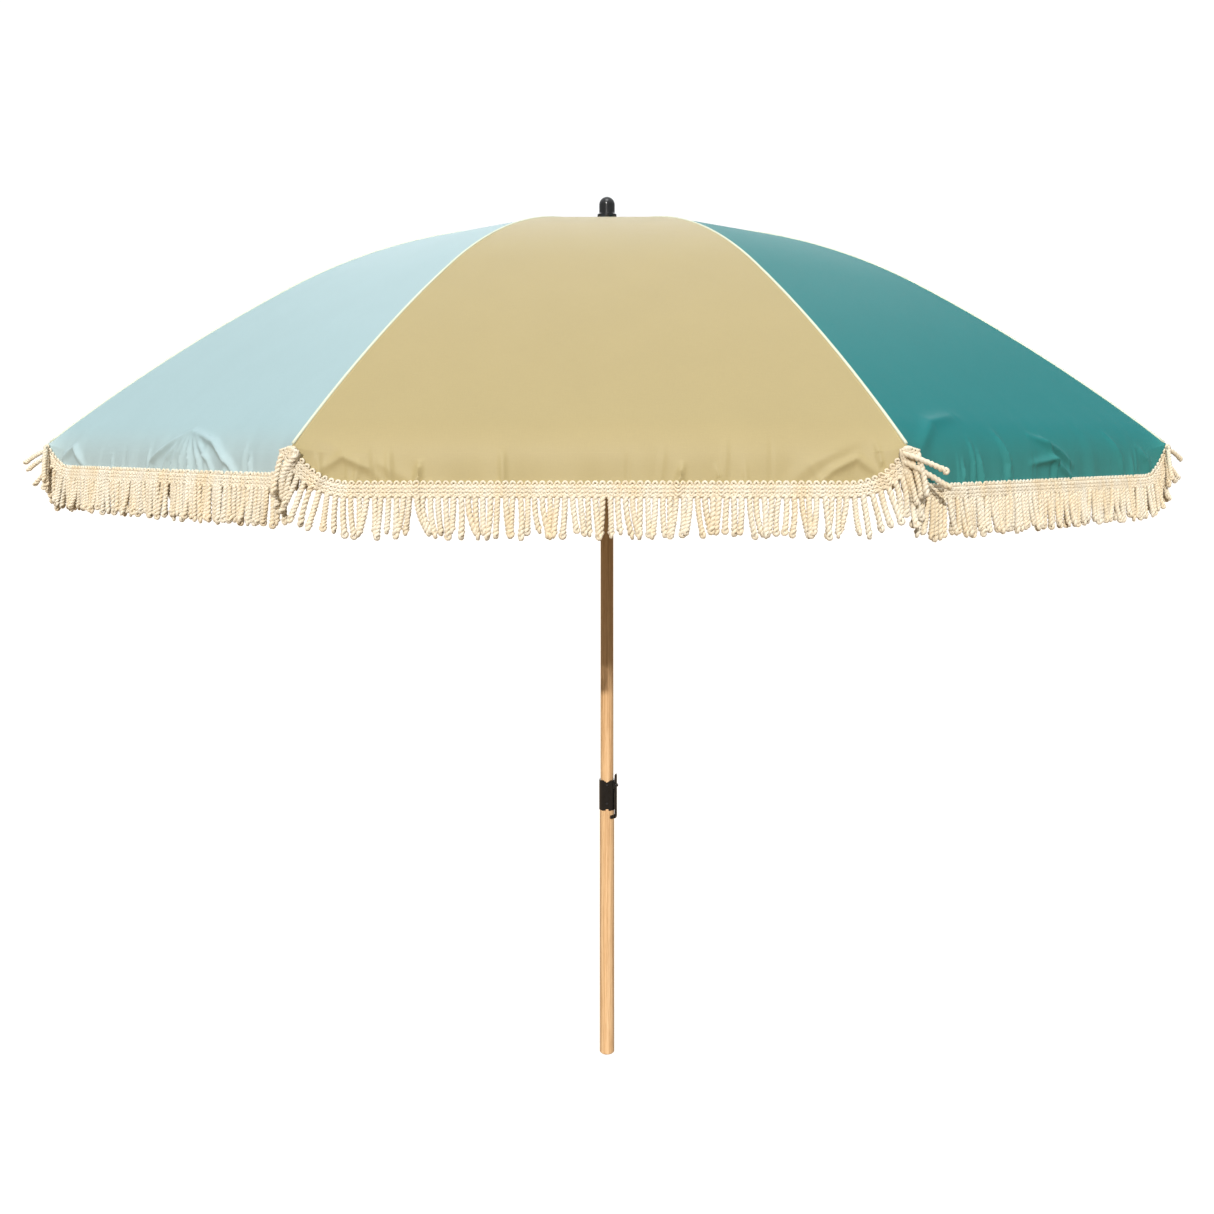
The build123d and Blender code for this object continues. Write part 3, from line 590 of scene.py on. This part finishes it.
def gather_wave(number):
    """Soft gathers along a panel's hem: a sum of waves, drawn once for each panel."""
    draw = np.random.default_rng(500 + number)
    waves = [
        (2 * pi / draw.uniform(0.034, 0.12), draw.uniform(0, 2 * pi), draw.uniform(0.25, 0.8))
        for _ in range(6)
    ]
    folds = SEEN_FOLDS.get(number) or corner_folds(draw, 1) + corner_folds(draw, -1)
    folds = folds + hem_folds(draw, CREASES)

    def wrinkle(y, down, s):
        fade = np.exp(-np.clip(HEM_DEPTH - down, 0, None) / GATHER_DECAY)
        wave = sum(size * np.sin(rate * y + phase) for rate, phase, size in waves)
        moved = GATHER_HEIGHT * wave * fade * smooth(s / 0.05)
        for line, width, height in folds:
            moved = moved + ridge(y, down, line, width, height)
        return moved * smooth(s / 0.012)

    return wrinkle


WRINKLES = {number: gather_wave(number) for number in range(1, RIBS + 1)}


def panel_azimuth(number):
    return FRONT + (number - 1) * 2 * HALF_STEP


def direction(azimuth):
    return np.array([cos(azimuth), sin(azimuth), 0])


def cloth_point(number, side, s, down, lift=0):
    """Points of a panel's outer face in the umbrella's frame, and their y along the chords."""
    flat_x = np.interp(down, section_down, section_x)
    x, z = section(down, s)
    y = side * (np.minimum(flat_x, TIP_R * COS_HALF) * TAN_HALF - s)
    lift = lift + WRINKLES[number](y, down, s)
    slope = np.interp(down, bend_down, bend_slope, left=start_slope)
    x = x + lift * np.sin(slope)
    z = z + lift * np.cos(slope)
    turn = panel_azimuth(number)
    points = np.stack([x * cos(turn) - y * sin(turn), x * sin(turn) + y * cos(turn), z], -1)
    return points, y


# --------------------------------------------------------------------- mesh making


SHARP_ANGLE = radians(60)


def new_piece(name, verts, faces, slot, finish=None):
    mesh = bpy.data.meshes.new(name)
    mesh.from_pydata(verts, [], faces)
    mesh.polygons.foreach_set("use_smooth", [True] * len(mesh.polygons))
    piece = bpy.data.objects.new(name, mesh)
    bpy.context.scene.collection.objects.link(piece)
    mesh.materials.append(MATERIALS[finish or slot])
    return piece


def write_uvs(mesh, label, per_vertex):
    """Gives a mesh a UV map from one pair of values for each vertex."""
    corners = np.empty(len(mesh.loops), int)
    mesh.loops.foreach_get("vertex_index", corners)
    layer = mesh.uv_layers.new(name=label)
    layer.data.foreach_set("uv", per_vertex[corners].astype(np.float32).ravel())


def grid_normals(points):
    along = np.gradient(points, axis=0)
    across = np.gradient(points, axis=1)
    normals = np.cross(across, along)
    size = np.linalg.norm(normals, axis=-1, keepdims=True)
    for row in range(len(points) - 2, -1, -1):
        flat = size[row, :, 0] < 1e-12
        normals[row][flat] = normals[row + 1][flat]
        size[row][flat] = size[row + 1][flat]
    return normals / size


def sheet_piece(name, points, y, down, s, slot, outward):
    """A closed thin shell under a grid of outer points, with the cloth's own coordinates as UVs."""
    rows, columns = points.shape[:2]
    normals = grid_normals(points)
    if np.sum(normals * outward) < 0:
        normals = -normals
    inner = points - normals * CLOTH_T
    verts = np.concatenate([points.reshape(-1, 3), inner.reshape(-1, 3)])
    index = np.arange(rows * columns).reshape(rows, columns)
    a, b, c, d = index[:-1, :-1], index[:-1, 1:], index[1:, 1:], index[1:, :-1]
    outer_faces = np.stack([a, b, c, d], -1).reshape(-1, 4)
    middle = rows // 2
    start = points[middle, 0]
    turned = np.cross(points[middle, 1] - start, points[middle + 1, 0] - start)
    facing = np.dot(turned, normals[middle, 0])
    if facing < 0:
        outer_faces = outer_faces[:, ::-1]
    inner_faces = outer_faces[:, ::-1] + rows * columns
    ring = np.concatenate([index[0, :], index[1:, -1], index[-1, -2::-1], index[-2:0:-1, 0]])
    after = np.roll(ring, -1)
    rim = np.stack([ring, after, after + rows * columns, ring + rows * columns], -1)
    if facing > 0:
        rim = rim[:, ::-1]
    faces = np.concatenate([outer_faces, inner_faces, rim])
    piece = new_piece(name, verts, faces.tolist(), slot)
    mesh = piece.data
    for label, values in (("weave", (y, down)), ("edge", (s, down))):
        flat = np.stack([np.broadcast_to(v, (rows, columns)).ravel() for v in values], -1)
        write_uvs(mesh, label, np.concatenate([flat, flat]))
    edit = bmesh.new()
    edit.from_mesh(mesh)
    bmesh.ops.dissolve_degenerate(edit, dist=1e-6, edges=edit.edges)
    bmesh.ops.recalc_face_normals(edit, faces=edit.faces)
    for edge in edit.edges:
        if len(edge.link_faces) == 2 and edge.calc_face_angle(0) > SHARP_ANGLE:
            edge.smooth = False
    edit.to_mesh(mesh)
    edit.free()
    return piece


def grid_area(points):
    a = points[1:, 1:] - points[:-1, :-1]
    b = points[:-1, 1:] - points[1:, :-1]
    return float(np.linalg.norm(np.cross(a, b), axis=-1).sum() / 2)


def grid_spans(points):
    """Longest row and longest column of a grid."""
    rows = np.linalg.norm(np.diff(points, axis=1), axis=-1).sum(axis=1).max()
    columns = np.linalg.norm(np.diff(points, axis=0), axis=-1).sum(axis=0).max()
    return float(rows), float(columns)


def rib_of(number, side):
    """The rib that half a panel is sewn to, and the rib's azimuth."""
    rib = number if side > 0 else (number - 2) % RIBS + 1
    return rib, FRONT + (2 * rib - 1) * HALF_STEP


def spaced(start, end, step):
    return np.linspace(start, end, max(2, int(round((end - start) / step)) + 1))


SPLIT_R = SPLIT_T / (SIN_HALF * COS_HALF)
split_down = float(np.interp(SPLIT_R, section_r, section_down))
ROW_DOWNS = np.concatenate(
    [
        spaced(-CLOTH_LENGTH, split_down, 0.014)[:-1],
        spaced(split_down, -0.13, 0.014)[:-1],
        spaced(-0.13, -0.055, 0.004)[:-1],
        spaced(-0.055, 0, 0.0022),
    ]
)
SPLIT_ROW = int(np.argmin(np.abs(ROW_DOWNS - split_down)))
SIDE_NAMES = {1: "right", -1: "left"}
COLUMN_STEP = 0.003


def strip_s(strip, down):
    """Distances from the rib for each row of a strip, as a grid of rows by columns."""
    reach = np.minimum(np.interp(down, section_down, section_x), TIP_R * COS_HALF) * TAN_HALF
    split = SPLIT_T / COS_HALF
    if strip == "inner":
        columns = int(split / COLUMN_STEP) + 1
        low, high = np.zeros_like(reach), np.minimum(split, reach)
    else:
        columns = int((CHORD_HALF - split) / COLUMN_STEP) + 1
        low, high = np.full_like(reach, split), np.maximum(reach, split)
    share = np.linspace(0, 1, columns)
    return low[:, None] + share[None, :] * (high - low)[:, None]


def fold_strip(piece, strip):
    """Gives a piece of a panel its own copy of its mesh."""
    if strip == "inner":
        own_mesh(piece)
    else:
        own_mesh(piece)


def fold_wing(piece, strip, azimuth, side):
    """Gives a piece of the hanging hem its own copy of its mesh; the fold axis it works out is not
    used.
    """
    if strip == "inner":
        fold_strip(piece, strip)
        return
    away = -side * direction(azimuth + pi / 2)
    out = direction(azimuth)
    axis = WING_AXIS[0] * out + WING_AXIS[1] * away + np.array([0, 0, WING_AXIS[2]])
    axis /= np.linalg.norm(axis)
    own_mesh(piece)


def make_panel(number, side, strip):
    slot = PANEL_SLOTS[number - 1]
    rib, azimuth = rib_of(number, side)
    rows = ROW_DOWNS if strip == "inner" else ROW_DOWNS[SPLIT_ROW:]
    s = strip_s(strip, rows)
    down = np.broadcast_to(rows[:, None], s.shape)
    points, y = cloth_point(number, side, s, down)
    name = f"panel_{number}_{SIDE_NAMES[side]}"
    outward = np.array([0, 0, 1.0])
    piece = sheet_piece(f"{name}_{strip}", points, y, down, s, slot, outward)
    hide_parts(name)
    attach(piece, f"rib_{rib}")
    fold_strip(piece, strip)
    return piece, grid_area(points), grid_spans(points)


# The hem piece runs up inside the panel: its hidden rows, and how far under the panel they lie
TUCK_ROWS = (-0.030, -0.020, -0.012, -0.008, -0.004, -0.001)
TUCK_UNDER = 0.0010
VALANCE_START = 0.0015  # clear of the rib tip


def make_valance(number, side, strip):
    slot = PANEL_SLOTS[number - 1]
    rib, azimuth = rib_of(number, side)
    split = SPLIT_T / COS_HALF
    low, high = (VALANCE_START, split) if strip == "inner" else (split, CHORD_HALF)
    columns = spaced(low, high, COLUMN_STEP)
    lower = edge_down(columns, number)
    hanging = np.linspace(0, 1, 22)[:, None] * lower[None, :]
    tucked = np.broadcast_to(np.array(TUCK_ROWS)[:, None], (len(TUCK_ROWS), len(columns)))
    down = np.concatenate([tucked, hanging])
    s = np.broadcast_to(columns[None, :], down.shape)
    points, y = cloth_point(number, side, s, down, -TUCK_UNDER * smooth((-down - 0.001) / 0.003))
    outward = direction(panel_azimuth(number))
    name = f"valance_{number}_{SIDE_NAMES[side]}_{strip}"
    piece = sheet_piece(name, points, y, down, s, slot, outward)
    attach(piece, f"hem_{rib}")
    fold_wing(piece, strip, azimuth, side)
    return piece, grid_area(points), grid_spans(points)


# ------------------------------------------------------------------ braid and loops


class Tubes:
    """Collects tubes along lines of points, closed at both ends."""

    def __init__(self):
        self.verts, self.faces, self.count = [], [], 0

    def add(self, line, radius, sides=5):
        line = np.asarray(line)
        along = np.gradient(line, axis=0)
        along /= np.linalg.norm(along, axis=1, keepdims=True)
        normal = np.cross(along[0], (0.31, 0.2, 0.93))
        normals = np.empty_like(line)
        for index, step in enumerate(along):
            normal = normal - np.dot(normal, step) * step
            normal /= np.linalg.norm(normal)
            normals[index] = normal
        binormals = np.cross(along, normals)
        radius = np.broadcast_to(radius, len(line))
        angles = np.arange(sides) * 2 * pi / sides
        ring = normals[:, None] * np.cos(angles)[None, :, None]
        ring = ring + binormals[:, None] * np.sin(angles)[None, :, None]
        verts = line[:, None] + ring * radius[:, None, None]
        index = np.arange(len(line) * sides).reshape(len(line), sides) + self.count
        after = np.roll(index, -1, axis=1)
        quads = np.stack([index[:-1], after[:-1], after[1:], index[1:]], -1).reshape(-1, 4)
        self.faces += quads.tolist()
        self.faces.append(index[0, ::-1].tolist())
        self.faces.append(index[-1].tolist())
        self.verts.append(verts.reshape(-1, 3))
        self.count += verts.shape[0] * sides

    def piece(self, name, slot, finish=None):
        return new_piece(name, np.concatenate(self.verts), self.faces, slot, finish)


def loop_line(root, start, end, length, phase, turns):
    """One doubled yarn: down one strand, round the looped end and up the other."""
    steps = np.linspace(0, 1, 22)
    heading = start[None] * (1 - steps[:, None]) + end[None] * steps[:, None]
    heading /= np.linalg.norm(heading, axis=1, keepdims=True)
    stretch = length / (len(steps) - 1)
    centre = root + np.concatenate([[np.zeros(3)], np.cumsum(heading[:-1] * stretch, axis=0)])
    side = np.cross(heading, (0.2, 0.35, 0.1))
    side /= np.linalg.norm(side, axis=1, keepdims=True)
    other = np.cross(heading, side)
    angle = phase + 2 * pi * turns * steps
    opening = TWIST_R * (1 + 0.55 * np.clip(steps - 0.82, 0, 1) / 0.18)
    offset = (np.cos(angle)[:, None] * side + np.sin(angle)[:, None] * other) * opening[:, None]
    bend = np.linspace(0, pi, 6)[1:-1]
    reach = np.sin(bend)[:, None] * heading[-1] * opening[-1] * 1.3
    tip = centre[-1] + np.cos(bend)[:, None] * offset[-1] + reach
    return np.concatenate([centre + offset, tip, (centre - offset)[::-1]])


def edge_points(number, side):
    """Half a panel's lower edge from its tip: distances from the rib, points and run along them."""
    s = np.concatenate([spaced(0.0, HEM_CORNER, 0.0015)[:-1], spaced(HEM_CORNER, CHORD_HALF, 0.003)])
    lower = edge_down(s, number)
    points, _ = cloth_point(number, side, s, lower)
    run = np.concatenate([[0], np.cumsum(np.linalg.norm(np.diff(points, axis=0), axis=1))])
    return s, points, run


def smoothed(values, reach):
    """Points averaged over the ones on either side."""
    kernel = np.hanning(2 * reach + 1)
    kernel /= kernel.sum()
    padded = np.concatenate([np.repeat(values[:1], reach, 0), values, np.repeat(values[-1:], reach, 0)])
    return np.stack([np.convolve(padded[:, k], kernel, "valid") for k in range(3)], -1)


ROW_PLACES = (0.0030, 0.0078, 0.0126)  # chain rows of the braid, across it
ROW_SWING = 0.00150
ROW_LIFT = 0.00085
YARN_R = 0.00155
BAND_OUT = 0.0016  # braid's middle in front of the cloth
ARCH_R = 0.0027
ARCH_YARN_R = 0.00165
LOOP_GRAVITY = 0.6
BRAID_BACK_R = 0.0016  # woven band behind the chain rows
BRAID_BACK_ROWS = 5
# Loops thrown across the cloth, by half panel: each one's number from the rib tip, and how far it
# heads along the hem, down and out.
FLUNG = {
    (8, 1): {
        0: (0.70, 0.8, 0.1),
        1: (0.62, 0.8, 0.2),
        2: (0.60, 0.8, 0),
        3: (0.48, 0.85, 0.1),
        4: (0.35, 0.9, 0),
    },
    (2, -1): {
        0: (0.82, 0.42, 0.86),
        1: (0.95, 0.66, 0.90),
        2: (0.35, 0.9, 0.1),
        3: (0.45, 0.9, 0.1),
        4: (0.30, 0.9, 0.2),
    },
    (2, 1): {0: (-0.85, 0.25, 0.30), 2: (-0.70, 0.50, 0.35), 3: (-0.80, 0.42, 0.30)},
    (8, -1): {0: (-0.80, 0.30, 0.30), 1: (-0.85, 0.38, 0.30), 3: (-0.66, 0.60, 0.35)},
}


def make_fringe(number, side):
    """Braid and loops along half a panel, as an inner and an outer piece."""
    draw = np.random.default_rng(40 * number + side)
    rib, azimuth = rib_of(number, side)
    s, points, run = edge_points(number, side)
    total = run[-1]
    pitch = total / LOOP_COUNT
    places = spaced(0, total, pitch / 9)
    edge = np.stack([np.interp(places, run, points[:, k]) for k in range(3)], -1)
    edge_s = np.interp(places, run, s)
    along = smoothed(np.gradient(edge, axis=0), 4)
    along /= np.linalg.norm(along, axis=1, keepdims=True)
    turn = np.clip(1 - edge_s / 0.05, 0, 1)[:, None]
    out = direction(panel_azimuth(number)) * (1 - turn * 0.5) + direction(azimuth) * turn * 0.5
    out = out + np.array([0, 0, 0.1])
    out -= np.sum(out * along, axis=1, keepdims=True) * along
    out /= np.linalg.norm(out, axis=1, keepdims=True)
    fall = np.cross(along, out)
    fall *= -np.sign(fall[-1, 2])

    def place(at, across, lift):
        """A point of the braid, at a distance along the edge."""
        def read(values):
            return np.stack([np.interp(at, places, values[:, k]) for k in range(3)], -1)
        lift, across = np.asarray(lift), np.asarray(across)
        return read(edge) + read(fall) * across[..., None] + read(out) * (BAND_OUT + lift)[..., None]

    split_at = float(np.interp(SPLIT_T / COS_HALF, edge_s, places))
    pieces = []
    for strip, low, high in (("inner", 0.0, split_at), ("outer", split_at, total)):
        tubes = Tubes()
        at = spaced(low, high, pitch / 8)
        wave = 2 * pi * (total - at) / pitch
        for row in ROW_PLACES:
            for sign in (1, -1):
                across = row + sign * ROW_SWING * np.cos(wave)
                lift = sign * ROW_LIFT * np.sin(2 * wave + 0.6) + YARN_R * 0.5
                tubes.add(place(at, across, lift), YARN_R)
        count = max(2, int((high - low) / 0.003))
        band_at = np.linspace(low, high, count)
        for across in np.linspace(BAND_TOP + 0.0014, BAND_BOTTOM - 0.0014, BRAID_BACK_ROWS):
            row = place(band_at, np.full(count, across), np.full(count, -YARN_R * 0.7))
            tubes.add(row, BRAID_BACK_R, 4)
        first = int(np.ceil(low / pitch - 0.5))
        last = int(np.floor(high / pitch - 0.5 - 1e-9))
        bend = np.linspace(0, pi, 8)
        for step in range(first, last + 1):
            middle = (step + 0.5) * pitch
            arch_at = middle + ARCH_R * np.cos(bend) * 1.05
            across = BAND_TOP + 0.0012 - ARCH_R * 1.5 * np.sin(bend) ** 0.8
            tubes.add(place(arch_at, across, np.full(8, -0.0001)), ARCH_YARN_R)
        pieces.append((strip, tubes, first, last))
    leans = clumped(draw, LOOP_COUNT, pitch)
    for strip, tubes, first, last in pieces:
        for step in range(first, last + 1):
            middle = (step + 0.5) * pitch
            index = int(np.argmin(np.abs(places - middle)))
            root = place(middle, LOOP_ROOT, draw.normal(0, 0.0006))
            corner = turn[index, 0]
            down = LOOP_GRAVITY * (0.35 + 0.9 * corner)
            start = fall[index] * (1 - down) + np.array([0, 0, -down])
            start = start + along[index] * draw.normal(0, 0.06)
            end = (
                fall[index] * (1 - LOOP_GRAVITY) * (1 - 0.7 * corner)
                + np.array([0, 0, -1]) * LOOP_GRAVITY
                + along[index] * (leans[step] / LOOP_LENGTH + draw.normal(0, 0.10))
                + out[index] * draw.normal(0.02, 0.10 + 0.1 * corner)
            )
            if step in FLUNG.get((number, side), {}):
                sideways, down, lift = FLUNG[number, side][step]
                start = along[-1] * sideways + np.array([0, 0, -down]) + out[-1] * lift
                end = start + np.array([0, 0, -0.25])
            length = LOOP_LENGTH * draw.uniform(0.88, 1.07) * max(1, np.linalg.norm(start))
            line = loop_line(root, start, end, length, draw.uniform(0, 2 * pi), draw.uniform(3.6, 5.2))
            tubes.add(line, STRAND_R * draw.uniform(0.92, 1.08))
    made = []
    for strip, tubes, _, _ in pieces:
        piece = tubes.piece(f"fringe_{number}_{SIDE_NAMES[side]}_{strip}", "fringe")
        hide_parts(f"fringed_hem_{rib}")
        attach(piece, f"hem_{rib}")
        fold_wing(piece, strip, azimuth, side)
        made.append(piece)
    return made


def clumped(draw, count, pitch):
    """How far each loop's end leans along the hem, so that loops hang together in twos and threes."""
    leans = np.zeros(count)
    step = 0
    while step < count:
        size = int(draw.integers(1, 5))
        members = np.arange(step, min(step + size, count))
        middle = members.mean() + draw.normal(0, 1.0)
        leans[members] = (middle - members) * pitch * draw.uniform(0.4, 0.95)
        step += size
    return leans


# ------------------------------------------------------------------------ seams

SEAM_R = 0.0021
SEAM_SIDES = 10
SEAM_START = 0.024
STITCH_FREE = 0.02  # far enough from a seam's own line to hold no stitches


def make_seam(number):
    """The felled seam over a rib: a low rounded ridge from the crown to the tip."""
    azimuth = FRONT + (2 * number - 1) * HALF_STEP
    radii = np.concatenate([spaced(SEAM_START, 0.1, 0.012)[:-1], spaced(0.1, TIP_R - 0.004, 0.010)])
    heights = dome(radii)
    line = np.stack([radii * cos(azimuth), radii * sin(azimuth), heights - SEAM_R * 0.25], -1)
    tubes = Tubes()
    tubes.add(line, SEAM_R, sides=SEAM_SIDES)
    piece = tubes.piece(f"seam_{number}", OLIVE, finish="seam")
    index = np.arange(len(radii) * SEAM_SIDES)
    ring = (index % SEAM_SIDES) / SEAM_SIDES * 2 * pi * SEAM_R
    run = radii[index // SEAM_SIDES]
    write_uvs(piece.data, "weave", np.stack([ring, run], -1))
    write_uvs(piece.data, "edge", np.stack([ring + STITCH_FREE, run], -1))
    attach(piece, f"rib_{number}")
    return piece


# --------------------------------------------------------------------------- build

add_camera()
add_studio()
add_floor()
dress_cad()
seams = {number: make_seam(number) for number in range(1, RIBS + 1)}
for number in range(1, RIBS + 1):
    for side in (1, -1):
        fringes = make_fringe(number, side)
        for strip, fringe in zip(("inner", "outer"), fringes):
            panel, area, flat = make_panel(number, side, strip)
            valance, area, flat = make_valance(number, side, strip)
